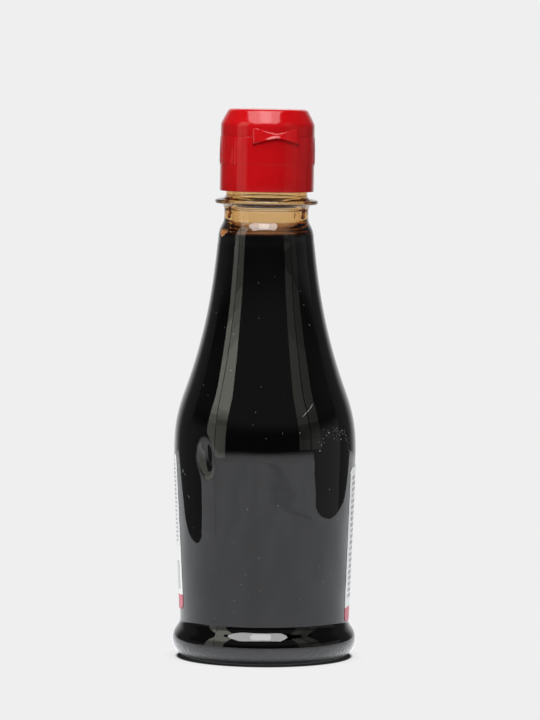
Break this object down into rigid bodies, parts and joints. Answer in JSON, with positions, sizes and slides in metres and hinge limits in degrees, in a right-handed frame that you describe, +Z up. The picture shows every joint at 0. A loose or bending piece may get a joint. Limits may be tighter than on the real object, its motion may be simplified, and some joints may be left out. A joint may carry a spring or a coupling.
{
  "type": "pomegranate sauce bottle",
  "caption": "Clear footed bottle with a long sloping shoulder, full of dark pomegranate sauce, shut by a red flip-top cap, with a label round its back.",
  "frame": {"origin": "centre of the foot, on the surface that the bottle stands on", "axes": "+Z up the bottle's axis to the cap, the side without a label faces -Y, +X to the right as seen from there"},
  "size_m": [0.0588, 0.0586, 0.1756],
  "materials": {
    "clear_plastic": "clear blown plastic, glossy, with fine scuffs",
    "dark_sauce": "thick dark sauce, brown only where it is thin",
    "red_plastic": "moulded red plastic, satin gloss",
    "label_paper": "printed label, soft sheen"
  },
  "bodies": {
    "root": {"bottle": "clear_plastic", "sauce": "dark_sauce", "cap_base": "red_plastic", "cap_lid": "red_plastic", "label": "label_paper"}
  },
  "joints": []
}
